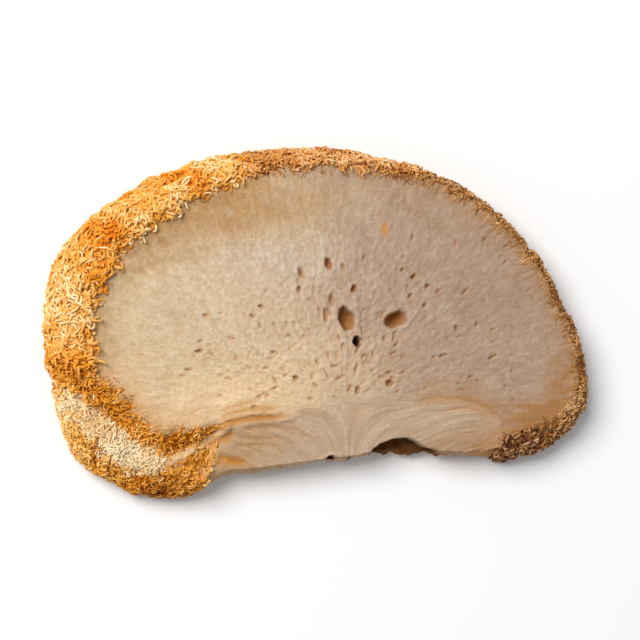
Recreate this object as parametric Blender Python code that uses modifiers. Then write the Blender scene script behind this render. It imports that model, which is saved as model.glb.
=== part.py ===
"""A dried slice of lion's mane mushroom, lying on its lower cut face.

One closed solid: the spongy flesh with the crust of dried spines round its rim.
Metres, +Z up. +X runs along the slice, +Y towards the crown of the mushroom, and
the origin is in the middle of the footprint, on the surface that the slice lies on.

Run with: blender --background --python part.py
"""

import math

import bmesh
import bpy
from mathutils import Vector

MM = 0.001

# Driving dimensions
LENGTH = 90.0 * MM  # along X, over the tips of the spines
DEPTH = 55.4 * MM  # from the torn base to the crown
FACE_HEIGHT = 8.8 * MM  # of the upper cut face, in the middle
DISH = 0.9 * MM  # how far the flesh has sunk behind the crust
FACE_SWELL = 0.5 * MM  # rise of the middle of the face over its rim
UNDERCUT = 1.3 * MM  # how far the rim turns in where it meets the surface below
SMOOTH_LEVELS = 1

# Round the rim, clockwise from the left end: x and y of the outermost spine tips, how far
# the bank of crust reaches in from there to the cut face, and how high the crust stands.
RIM_MM = [
    (-45.0, 0.0, 7.5, 9.5),
    (-44.3, 6.0, 7.5, 9.8),
    (-42.0, 11.8, 7.0, 10.0),
    (-38.2, 16.2, 7.0, 10.0),
    (-33.0, 19.8, 6.5, 10.0),
    (-27.8, 22.9, 5.8, 9.8),
    (-21.5, 25.2, 5.0, 9.6),
    (-14.5, 26.6, 4.2, 9.5),
    (-8.0, 27.3, 3.2, 9.3),
    (-2.0, 27.6, 2.6, 9.2),
    (4.5, 26.8, 2.2, 9.0),
    (10.5, 25.6, 2.0, 8.8),
    (17.0, 23.9, 1.8, 8.6),
    (24.0, 20.6, 1.8, 8.5),
    (30.5, 16.2, 1.8, 8.4),
    (36.0, 10.0, 1.8, 8.3),
    (40.4, 3.0, 1.8, 8.2),
    (43.4, -4.0, 1.8, 8.2),
    (45.0, -10.5, 2.0, 8.2),
    (43.6, -16.8, 2.6, 8.0),
    (39.6, -20.6, 3.5, 7.8),
    (34.6, -23.2, 4.0, 7.6),
    (29.8, -24.0, 3.0, 7.2),
    (24.0, -22.7, 1.6, 6.8),
    (18.0, -22.1, 1.6, 6.6),
    (13.5, -21.9, 3.0, 6.6),
    (8.0, -21.7, 1.4, 6.6),
    (2.0, -22.1, 1.2, 6.6),
    (-5.0, -23.0, 1.4, 6.6),
    (-12.0, -23.8, 1.5, 6.6),
    (-17.5, -23.9, 1.8, 6.8),
    (-20.5, -26.4, 3.0, 7.0),
    (-25.5, -27.7, 6.0, 7.6),
    (-31.5, -27.2, 8.5, 8.2),
    (-37.0, -24.4, 9.5, 8.8),
    (-41.2, -20.0, 9.5, 9.2),
    (-43.4, -14.0, 9.0, 9.4),
    (-44.6, -7.0, 8.0, 9.4),
]

# The bank from the skirt up to the face: share of its width, and share of its height.
BANK_STEPS = [(0.0, 0.25), (0.32, 0.72), (0.85, 1.0)]

# The rings of the upper face: how far each has closed in on the middle.
FACE_STEPS = [0.0, 0.28, 0.62]

FLESH_COLOUR = (0.62, 0.46, 0.28, 1.0)
FLESH_ROUGHNESS = 0.85


def clear_scene():
    for thing in list(bpy.data.objects):
        bpy.data.objects.remove(thing)


def rim_stations():
    """Each station of the rim as (tip, inward direction, bank width, crust height)."""
    tips = [Vector((x, y, 0.0)) * MM for x, y, _, _ in RIM_MM]
    stations = []
    for i, (_, _, bank, height) in enumerate(RIM_MM):
        along = tips[(i + 1) % len(tips)] - tips[i - 1]
        inward = Vector((along.y, -along.x, 0.0)).normalized()
        stations.append((tips[i], inward, bank * MM, height * MM))
    return stations


def sole_ring(stations, closed_in):
    """The edge of the lower cut face, which lies flat, or a ring inside it."""
    return [
        (tip + inward * UNDERCUT) * (1.0 - closed_in)
        for tip, inward, _, _ in stations
    ]


def bank_ring(stations, across, up):
    """A ring on the bank of crust, between its skirt and the top of the crust."""
    return [
        tip + inward * bank * across + Vector((0.0, 0.0, height * up))
        for tip, inward, bank, height in stations
    ]


def face_ring(stations, closed_in):
    """A ring of the upper cut face, from just inside the crust towards the middle."""
    ring = []
    for tip, inward, bank, height in stations:
        edge = tip + inward * (bank + DISH)
        sunk = height - DISH
        middle = FACE_HEIGHT + FACE_SWELL * math.sin(math.pi * closed_in)
        share = min(1.0, closed_in / FACE_STEPS[1])
        point = edge * (1.0 - closed_in)
        point.z = sunk + (middle - sunk) * share
        ring.append(point)
    return ring


def loft(name, rings):
    """A closed mesh through the rings in turn, with its first and last ring capped."""
    cage = bmesh.new()
    corners = [[cage.verts.new(point) for point in ring] for ring in rings]
    for lower, upper in zip(corners, corners[1:]):
        for i in range(len(lower)):
            cage.faces.new((lower[i - 1], lower[i], upper[i], upper[i - 1]))
    cage.faces.new(corners[0])
    cage.faces.new(corners[-1])
    bmesh.ops.recalc_face_normals(cage, faces=cage.faces)
    mesh = bpy.data.meshes.new(name)
    cage.to_mesh(mesh)
    cage.free()
    return mesh


def fit_to_size(thing):
    """Centres the smoothed shape on its footprint, at its full length and depth."""
    smoothed = thing.evaluated_get(bpy.context.evaluated_depsgraph_get())
    corners = [vertex.co.copy() for vertex in smoothed.to_mesh().vertices]
    smoothed.to_mesh_clear()
    low = Vector([min(corner[k] for corner in corners) for k in range(3)])
    high = Vector([max(corner[k] for corner in corners) for k in range(3)])
    middle = (low + high) / 2.0
    stretch_x = LENGTH / (high.x - low.x)
    stretch_y = DEPTH / (high.y - low.y)
    for vertex in thing.data.vertices:
        vertex.co.x = (vertex.co.x - middle.x) * stretch_x
        vertex.co.y = (vertex.co.y - middle.y) * stretch_y


def flesh_material():
    material = bpy.data.materials.new("dried_flesh")
    material.use_nodes = True
    shader = material.node_tree.nodes["Principled BSDF"]
    shader.inputs["Base Color"].default_value = FLESH_COLOUR
    shader.inputs["Roughness"].default_value = FLESH_ROUGHNESS
    shader.inputs["Metallic"].default_value = 0.0
    return material


def mushroom_slice(collection):
    stations = rim_stations()
    rings = [sole_ring(stations, 0.5), sole_ring(stations, 0.08), sole_ring(stations, 0.0)]
    rings += [bank_ring(stations, across, up) for across, up in BANK_STEPS]
    rings += [face_ring(stations, closed_in) for closed_in in FACE_STEPS]
    thing = bpy.data.objects.new("mushroom_slice", loft("mushroom_slice", rings))
    collection.objects.link(thing)
    smooth = thing.modifiers.new("Smooth", "SUBSURF")
    smooth.levels = SMOOTH_LEVELS
    smooth.render_levels = SMOOTH_LEVELS
    bpy.context.view_layer.update()
    fit_to_size(thing)
    thing.data.shade_smooth()
    thing.data.materials.append(flesh_material())
    return thing


def main():
    clear_scene()
    collection = bpy.data.collections.new("lions_mane_slice")
    bpy.context.scene.collection.children.link(collection)
    mushroom_slice(collection)


main()
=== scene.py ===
"""Looks of a dried slice of lion's mane mushroom: fibrous flesh with a crust of curled spines.

Shapes are worked out in millimetres, with +X along the slice, +Y towards its crown and +Z
out of the upper cut face, and each finished mesh is scaled to metres.
"""

import itertools
import math

import bmesh
import bpy
import numpy as np
from bpy.props import FloatProperty, FloatVectorProperty, IntProperty, PointerProperty
from mathutils import Matrix, Vector
from mathutils.bvhtree import BVHTree


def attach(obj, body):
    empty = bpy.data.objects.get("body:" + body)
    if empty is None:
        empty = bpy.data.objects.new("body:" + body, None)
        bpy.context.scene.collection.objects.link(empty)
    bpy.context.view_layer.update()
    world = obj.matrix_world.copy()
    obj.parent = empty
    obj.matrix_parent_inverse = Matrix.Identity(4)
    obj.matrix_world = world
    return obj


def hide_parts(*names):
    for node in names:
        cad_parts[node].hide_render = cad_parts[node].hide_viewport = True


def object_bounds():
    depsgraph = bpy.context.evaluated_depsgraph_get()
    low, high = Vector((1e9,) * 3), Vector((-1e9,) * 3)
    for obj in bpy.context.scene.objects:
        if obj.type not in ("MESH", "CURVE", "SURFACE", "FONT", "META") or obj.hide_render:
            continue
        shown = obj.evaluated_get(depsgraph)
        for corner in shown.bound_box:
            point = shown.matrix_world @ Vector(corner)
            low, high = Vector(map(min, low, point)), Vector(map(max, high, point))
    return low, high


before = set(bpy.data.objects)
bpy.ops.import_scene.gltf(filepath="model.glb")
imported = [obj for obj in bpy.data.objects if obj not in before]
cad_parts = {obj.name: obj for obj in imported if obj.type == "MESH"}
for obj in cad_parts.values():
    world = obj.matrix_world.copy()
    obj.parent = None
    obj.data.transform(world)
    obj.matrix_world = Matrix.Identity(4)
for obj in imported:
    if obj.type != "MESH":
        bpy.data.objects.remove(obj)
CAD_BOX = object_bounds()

bl_info = {
    "name": "Dried Lion's Mane Slice",
    "version": (1, 0, 0),
    "blender": (4, 5, 0),
    "location": "View3D > Sidebar > Mushroom",
    "description": "Models the flesh and the curled crust of a dried mushroom slice",
    "category": "Object",
}

MM = 0.001
TUFT_MM = 2.3  # spines within a tuft lean alike
PATCH_MM = 5.0  # and patches of crust have browned alike
CAMERA_LENS = 120.0
FRAME_SHARE = 0.86  # of the picture's width that the slice takes up
KEY_PLACE = (-0.52, 0.42, 0.80)  # high up beyond the thick end, on the crown's side
KEY_WIDTH = 0.6
KEY_COLOUR = (1.0, 0.985, 0.96)
SKY_COLOUR = (0.97, 0.985, 1.0, 1.0)
FLOOR_WIDTH = 6.0
SOLID = "mushroom_slice"
LENGTH_MM = (CAD_BOX[1].x - CAD_BOX[0].x) / MM
TOP_MM = CAD_BOX[1].z / MM

# ---------------------------------------------------------------------------
# Numbers
# ---------------------------------------------------------------------------


def clamp(value):
    return np.clip(value, 0.0, 1.0)


def smoothstep(low, high, value):
    share = clamp((value - low) / (high - low))
    return share * share * (3.0 - 2.0 * share)


def bell(distance, width):
    return np.exp(-((distance / width) ** 2))


def spot(x, y, middle, reach):
    """An oval patch that fades out from its middle, by its reach each way."""
    return bell(np.hypot((x - middle[0]) / reach[0], (y - middle[1]) / reach[1]), 1.0)


def blend(first, second, share):
    return first + (second - first) * share


def unit(vectors):
    return vectors / np.maximum(np.linalg.norm(vectors, axis=-1, keepdims=True), 1e-9)


def noise(places, seed):
    """Smooth noise of about -1 to 1 with bumps one unit across, at places of 2 or 3 numbers."""
    rng = np.random.default_rng(seed)
    table = rng.permutation(256)
    width = places.shape[1]
    slopes = unit(rng.normal(size=(256, width)))
    cell = np.floor(places).astype(int)
    inside = places - cell
    ease = inside**3 * (inside * (inside * 6.0 - 15.0) + 10.0)
    total = np.zeros(len(places))
    for corner in itertools.product((0, 1), repeat=width):
        mix = np.zeros(len(places), int)
        weight = np.ones(len(places))
        for axis, step in enumerate(corner):
            mix = table[(mix + cell[:, axis] + step) & 255]
            weight = weight * (ease[:, axis] if step else 1.0 - ease[:, axis])
        total += weight * (slopes[mix] * (inside - corner)).sum(1)
    return total * 1.5


def layered(places, seed, layers=3):
    """Noise with finer and fainter layers over it."""
    return sum(noise(places * 2.0**k, seed + k) * 0.5**k for k in range(layers))


def line_distance(at, line):
    """Distance of each place from an open line of points, and how far along the line it is."""
    line = np.array(line, float)
    starts, runs = line[:-1], np.diff(line, axis=0)
    lengths = np.linalg.norm(runs, axis=1)
    away = at[:, None, :] - starts[None]
    share = clamp((away * runs).sum(2) / lengths**2)
    gaps = np.linalg.norm(away - share[..., None] * runs, axis=2)
    nearest = gaps.argmin(1)
    rows = np.arange(len(at))
    travelled = np.concatenate([[0.0], np.cumsum(lengths)[:-1]])
    along = (travelled[nearest] + share[rows, nearest] * lengths[nearest]) / lengths.sum()
    return gaps[rows, nearest], along


def curve_height(at, line):
    """The line's y at each place's x."""
    line = np.array(line, float)
    return np.interp(at[:, 0], line[:, 0], line[:, 1])


# ---------------------------------------------------------------------------
# The rim, worked out from the CAD solid
# ---------------------------------------------------------------------------

RIM_STEPS = 720
PROBE_HEIGHTS_MM = (1.5, 2.5, 3.5)
RIM_SMOOTHING = 4

# Round the rim by angle from the middle: how far the flesh's edge lies inside the outline of
# the CAD solid, how wide the band of crust is on top, how high it is, and how much it is crust.
RIM_TABLE = [
    (-180, 1.2, 5.4, 8.4, 1.0),
    (-168, 1.1, 5.2, 8.4, 1.0),
    (-155, 0.4, 7.2, 8.1, 1.0),
    (-142, 0.2, 7.6, 7.5, 1.0),
    (-134, -0.7, 5.2, 6.9, 1.0),
    (-129, -1.8, 2.8, 6.5, 0.8),
    (-125, -1.4, 1.4, 6.4, 0.2),
    (-121, -0.7, 0.9, 6.3, 0.0),
    (-75, -0.8, 0.9, 6.1, 0.0),
    (-68, -0.2, 0.9, 6.1, 0.0),
    (-52, -0.3, 0.9, 6.1, 0.0),
    (-44, 0.2, 0.9, 6.2, 0.0),
    (-40, 0.8, 1.6, 6.6, 1.0),
    (-35, 0.5, 4.0, 7.2, 1.0),
    (-30, -0.5, 4.3, 7.5, 1.0),
    (-24, -0.9, 4.0, 7.7, 1.0),
    (-18, -1.3, 3.0, 7.9, 1.0),
    (-10, -0.6, 1.9, 8.0, 1.0),
    (10, -0.4, 1.3, 8.1, 1.0),
    (45, -0.4, 1.3, 8.3, 1.0),
    (75, 0.3, 1.5, 8.4, 1.0),
    (95, 0.5, 2.0, 8.5, 1.0),
    (115, 0.6, 2.9, 8.6, 1.0),
    (130, 1.0, 3.4, 8.6, 1.0),
    (150, 1.2, 4.7, 8.6, 1.0),
    (165, 1.1, 5.6, 8.5, 1.0),
    (180, 1.2, 5.4, 8.4, 1.0),
]
LEAST_BANK = 0.9  # the rounded edge of the face where there is little or no crust


class Rim:
    """The outline of the slice, as stations round it with what the rim table says there."""

    def __init__(self, solid):
        tree = tree_of(solid.data)
        self.angles = np.linspace(-math.pi, math.pi, RIM_STEPS, endpoint=False)
        outward = np.stack([np.cos(self.angles), np.sin(self.angles)], 1)
        radii = np.array([self.probe(tree, Vector((*way, 0.0))) for way in outward])
        window = range(-RIM_SMOOTHING, RIM_SMOOTHING + 1)
        radii = sum(np.roll(radii, step) for step in window) / len(window)
        self.tips = outward * radii[:, None]
        along = unit(np.roll(self.tips, -1, 0) - np.roll(self.tips, 1, 0))
        self.inward = np.stack([-along[:, 1], along[:, 0]], 1)
        table = np.array(RIM_TABLE, float)
        degrees = np.degrees(self.angles)
        columns = [np.interp(degrees, table[:, 0], table[:, k]) for k in range(1, 5)]
        self.reach, self.band, self.height, self.crust = columns
        wavy = 0.45 * noise(self.tips / 3.2, 19) + 0.2 * noise(self.tips / 1.5, 18)
        self.reach += self.crust * wavy
        self.edge = self.tips + self.inward * self.reach[:, None]

    @staticmethod
    def probe(tree, way):
        """How far the solid reaches that way from the middle, in millimetres."""
        reached = []
        for height in PROBE_HEIGHTS_MM:
            start = way * LENGTH_MM * MM + Vector((0.0, 0.0, height * MM))
            hit = tree.ray_cast(start, -way)[0]
            reached.append(math.hypot(hit.x, hit.y) / MM)
        return max(reached)

    def nearest(self, at):
        """For each place, the nearest station of the flesh's edge and the depth inside it."""
        found = np.concatenate(
            [
                ((part[:, None, :] - self.edge[None]) ** 2).sum(2).argmin(1)
                for part in np.array_split(at, max(1, len(at) // 8000))
            ]
        )
        depth = ((at - self.edge[found]) * self.inward[found]).sum(1)
        return found, depth


# ---------------------------------------------------------------------------
# The lie of the land on the upper cut face
# ---------------------------------------------------------------------------

FACE_HEIGHT = 8.35
FIBRE_CENTRE = (3.0, -13.0)  # the fibres of the flesh fan out from here
FOUNTAIN = (4.4, -14.2)  # those of the torn base rise below here and turn aside

# The crease where the smooth strip of the torn base begins, and the base's lower edge.
CREASE = [(-18.5, -17.4), (-16.5, -16.8), (-13, -15.7), (-8, -15.4), (-3, -14.4), (4, -13.6),
          (12, -13.1), (20, -12.9), (24, -13.2), (27.5, -14.4), (30, -16.2)]
BASE_LINE = [(-18.5, -24), (-10, -23.8), (0, -22.4), (10, -21.8), (20, -22.2), (30, -24)]

# The furrow between the flesh and the lobe at the lower left, and the smooth cord beside it.
FURROW = [(-46, -7.0), (-42, -9.2), (-39, -11.2), (-36.4, -13.2), (-34, -15.6), (-31.8, -18),
          (-29.4, -19.9), (-26.5, -20.6), (-23, -19.9), (-20, -18.7), (-17.2, -17.3)]
FURROW_WIDTH = [(-46, 2.6), (-38, 3.6), (-30, 3.6), (-24, 2.6), (-17, 0.6)]
CORD = [(-26.5, -22.9), (-24.4, -22.0), (-22.2, -20.9), (-20, -19.4), (-17.9, -18.2), (-16, -17.4)]
LOBE_CENTRE = (-30.5, -20.5)

# The hollow under the torn base: its roof, which is an arch, and its middle and half length.
ARCH = [(7.8, -23.5), (8.3, -21.3), (9.6, -20.4), (11.8, -19.6), (14.4, -19.5), (16.0, -20.3),
        (17.2, -21.2), (19.0, -21.6), (20.3, -22.2), (21.0, -23.5)]
HOLLOW_MIDDLE = 14.3
HOLLOW_HALF = 6.6

# Pits: x, y, half length, half width, turn in degrees, depth.
PITS = [
    (3.6, 0.3, 2.05, 1.35, 112, 2.6),
    (12.0, 0.1, 2.0, 1.3, 24, 2.6),
    (5.5, -3.4, 1.0, 0.72, 105, 5.5),
    (0.7, 9.3, 1.0, 0.65, 110, 1.2),
    (5.0, 5.2, 0.75, 0.55, 70, 1.0),
    (3.2, 8.8, 0.7, 0.3, 120, 0.5),
    (-3.7, 7.7, 1.1, 0.35, 122, 0.7),
    (-4.0, 5.2, 0.6, 0.35, 110, 0.6),
    (1.3, 3.3, 1.0, 0.4, 95, 0.6),
    (0.2, 1.0, 1.3, 0.4, 92, 0.6),
    (14.9, 7.1, 0.6, 0.42, 40, 0.8),
    (17.2, 5.5, 0.55, 0.4, 60, 0.7),
    (19.0, 4.7, 0.5, 0.35, 50, 0.5),
    (16.7, 2.4, 0.6, 0.35, 45, 0.5),
    (13.0, 8.2, 0.5, 0.3, 60, 0.5),
    (22.1, -1.4, 0.75, 0.35, 95, 0.6),
    (19.9, -5.8, 0.9, 0.22, 14, 0.6),
    (22.5, -2.8, 0.6, 0.2, 12, 0.35),
    (28.4, -1.7, 0.8, 0.2, 20, 0.35),
    (28.4, -3.7, 0.6, 0.2, 5, 0.35),
    (10.9, -10.3, 0.8, 0.6, 175, 0.9),
    (10.8, -8.5, 0.5, 0.35, 20, 0.6),
    (5.5, -11.3, 0.75, 0.45, 75, 0.7),
    (1.7, -7.3, 0.7, 0.28, 5, 0.5),
    (2.6, -9.2, 0.9, 0.22, 20, 0.5),
    (-4.7, -9.1, 0.75, 0.32, 150, 0.8),
    (-8.3, -5.0, 0.7, 0.28, 165, 0.6),
    (-9.6, -7.4, 0.7, 0.2, 175, 0.5),
    (-10.4, 2.4, 0.75, 0.3, 160, 0.7),
    (-11.8, 0.9, 0.7, 0.26, 150, 0.6),
    (-20.5, -4.6, 0.95, 0.3, 3, 0.8),
    (-20.3, -3.0, 0.6, 0.2, 10, 0.4),
    (-19.4, 1.1, 0.7, 0.24, 165, 0.5),
    (-17.1, 1.4, 0.6, 0.2, 10, 0.4),
    (-22.2, -7.5, 0.8, 0.24, 0, 0.6),
    (-14.3, -5.9, 0.8, 0.2, 178, 0.4),
    (-8.1, -10.7, 0.8, 0.2, 10, 0.5),
    (1.5, -22.9, 1.1, 0.8, 0, 4.5),
    (4.6, -22.8, 0.4, 0.4, 0, 2.5),
    (-19.4, -21.3, 0.9, 0.5, 60, 0.9),
]

# Creases and wrinkles: how brown, how wide and how deep each is, and its line. A negative
# depth is a raised edge.
CREASES = [
    (0.08, 1.6, 0.12, [(-32, 11.5), (-27, 12.4), (-22, 13.6), (-17, 15.2), (-13, 15.0), (-9, 16.6),
                       (-5, 17.0), (-1, 17.6)]),
    (0.0, 0.7, -0.16, [(-12, 10.2), (-8, 10.8), (-6.6, 12.4), (-4.6, 12.0), (-2.8, 13.9),
                       (-0.5, 14.2), (0.8, 13.1), (3.4, 12.9), (5.2, 13.2), (6.4, 14.6)]),
    (0.0, 1.0, 0.12, [(-33, 6), (-28, 9.2), (-22, 10.5), (-16, 12.2)]),
    (0.0, 0.8, 0.12, [(9, 19), (13, 18.4), (18, 16.2), (22, 12.5)]),
    (0.0, 0.5, -0.3, [(4.7, 4.2), (5.5, 2.0), (5.7, -1.2)]),
    (0.0, 0.35, 0.3, [(-3.4, 9.4), (-4.2, 6.5), (-4.0, 4.0)]),
    (0.0, 0.35, 0.3, [(1.6, 5.2), (0.8, 2.6), (0.2, -0.6)]),
    (0.0, 0.3, 0.2, [(-1.4, 7.6), (-1.8, 4.4), (-1.4, 2.2)]),
    (1.0, 0.42, 0.5, [(-19.5, -17.3), (-17, -17.0), (-15.8, -16.2), (-13.7, -15.8), (-12, -15.5),
                      (-8, -15.5), (-5, -15.1)]),
    (0.0, 0.5, -0.3, [(-15, -16.7), (-11, -16.2), (-6.3, -15.8), (-3, -15.3)]),
    (0.22, 0.3, 0.14, [(-15, -17.8), (-11, -17.1), (-7, -17.1), (-4.2, -17.8), (-2.1, -19.2),
                     (-0.8, -21.4)]),
    (0.16, 0.3, 0.14, [(-15.5, -18.6), (-10.5, -18.9), (-7.4, -18.9), (-5, -20), (-3.6, -22.2)]),
    (0.2, 0.3, 0.14, [(-15.5, -20.3), (-11, -19.9), (-8, -20.3), (-6.3, -21.6), (-5.4, -23.2)]),
    (0.9, 0.45, 0.4, [(-15.6, -17.2), (-15.2, -18.0), (-16.2, -18.9), (-18.0, -19.6),
                      (-19.3, -20.6)]),
    (0.8, 0.5, 0.3, [(-17.6, -21.6), (-15.0, -22.5), (-12.5, -23.1)]),
    (0.55, 0.45, 0.08, [(-18.0, -15.6), (-15.0, -14.6), (-12.0, -14.0), (-7, -13.8)]),
    (0.4, 0.35, 0.06, [(-17.5, -14.4), (-14.5, -13.4), (-10.5, -12.6)]),
    (0.5, 0.6, 0.08, [(14, -13.3), (19.6, -13.0), (23.3, -13.1), (25.7, -13.7), (27.6, -14.5),
                      (29.6, -16.0), (31.3, -16.6)]),
    (0.35, 0.35, 0.05, [(20, -14.6), (24.7, -14.7), (27.6, -15.4), (30.2, -16.9)]),
    (0.2, 0.3, 0.05, [(20.5, -18.2), (23.6, -19.0), (27.0, -18.6)]),
    (0.3, 0.5, 0.04, [(31, -17.2), (28.8, -19.2), (26.9, -20.8), (24.6, -21.9)]),
]

PORE_TRIES = 1900
PORE_SEED = 11


def fibre_places(at):
    """Places seen along and across the fibres of the flesh: turn, distance out, direction."""
    away = at - np.array(FIBRE_CENTRE)
    out = np.linalg.norm(away, axis=1)
    warp = (0.8 * noise(at / 8.0, 41) + 0.2 * noise(at / 2.6, 42)) / np.maximum(out, 8.0)
    turn = np.arctan2(away[:, 0], away[:, 1]) + warp
    return turn, out, unit(away)


def fibre_ridges(at, seed):
    """Fine ridges along the fibres, about as wide near the middle as far out."""
    turn, out, _ = fibre_places(at)
    total = np.zeros(len(at))
    weights = np.zeros(len(at))
    for k in range(4):
        rate = 11.0 * 2.0**k
        width = np.maximum(out, 1.0) / rate
        weight = np.exp(-((np.log(width / 0.75)) ** 2) / 0.5)
        strand = np.stack([turn * rate, out / 3.4 + 7.0 * k], 1)
        total += weight * noise(strand, seed + k)
        weights += weight
    return total / np.maximum(weights, 0.15)


def strand_places(at):
    """Which strand of the torn base each place lies on, and how far out it is."""
    side = at[:, 0] - FOUNTAIN[0]
    drop = np.maximum(FOUNTAIN[1] - at[:, 1] + 0.3 * noise(at / 5.0, 51), -1.0) + 1.6
    return np.sign(side) * np.abs(side) ** 0.75 * drop, side


def pores(rim):
    """Small slots along the fibres, most of them low and towards the middle."""
    rng = np.random.default_rng(PORE_SEED)
    at = rng.uniform((-32, -14), (36, 20), size=(PORE_TRIES, 2))
    _, depth = rim.nearest(at)
    likely = (
        0.75 * bell(at[:, 0] + 9, 13) * bell(at[:, 1] + 8, 5.5)
        + 0.75 * bell(at[:, 0] - 4, 9) * bell(at[:, 1] + 4, 9)
        + 0.55 * bell(at[:, 0] - 26, 8) * bell(at[:, 1] + 9, 4)
        + 0.22 * bell(at[:, 0] - 12, 16) * bell(at[:, 1] - 4, 9)
    )
    likely *= (at[:, 1] > curve_height(at, CREASE) + 0.8) & (depth > 3.0)
    kept = at[rng.uniform(size=len(at)) < likely]
    _, _, way = fibre_places(kept)
    turn = np.arctan2(way[:, 1], way[:, 0]) + rng.normal(0, 0.3, len(kept))
    size = rng.uniform(0.0, 1.0, len(kept)) ** 3
    half_length = 0.28 + 0.6 * size * rng.uniform(0.6, 1.3, len(kept))
    half_width = 0.13 + 0.14 * size * rng.uniform(0.6, 1.4, len(kept))
    deep = 0.09 + 0.4 * size
    return np.stack([*kept.T, half_length, half_width, np.degrees(turn), deep], 1)


def dents(at, holes):
    """How deep the pits reach at each place, how lipped it is, and how dark it is painted, by how
    far down its pit it lies and how deep the pit is, as painted shade.
    """
    deep = np.zeros(len(at))
    lip = np.zeros(len(at))
    dark = np.zeros(len(at))
    order = np.argsort(at[:, 0])
    sorted_x = at[order, 0]
    for x, y, half_length, half_width, turn, depth in holes:
        span = 2.2 * half_length
        first, last = np.searchsorted(sorted_x, (x - span, x + span))
        rows = order[first:last]
        away = at[rows] - (x, y)
        ragged = 1.0 + 0.22 * noise(at[rows] / (0.6 * half_length + 0.3), 61)
        way = math.radians(turn)
        along = (away[:, 0] * math.cos(way) + away[:, 1] * math.sin(way)) / half_length
        across = (away[:, 1] * math.cos(way) - away[:, 0] * math.sin(way)) / half_width
        ring = np.sqrt(along**2 + across**2) * ragged
        bowl = clamp(1.0 - ring**2) ** 0.8
        deep[rows] = np.maximum(deep[rows], depth * bowl)
        inside = smoothstep(0.0, 0.5, bowl)
        # Painted shade: the deeper the pit, the more of the pit colour it takes.
        dark[rows] = np.maximum(dark[rows], inside * min(1.0, 0.12 + 0.75 * depth))
        lip[rows] = np.maximum(lip[rows], bell(ring - 1.25, 0.35) * min(depth, 1.5) * 0.12)
    return deep, lip, dark


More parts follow.
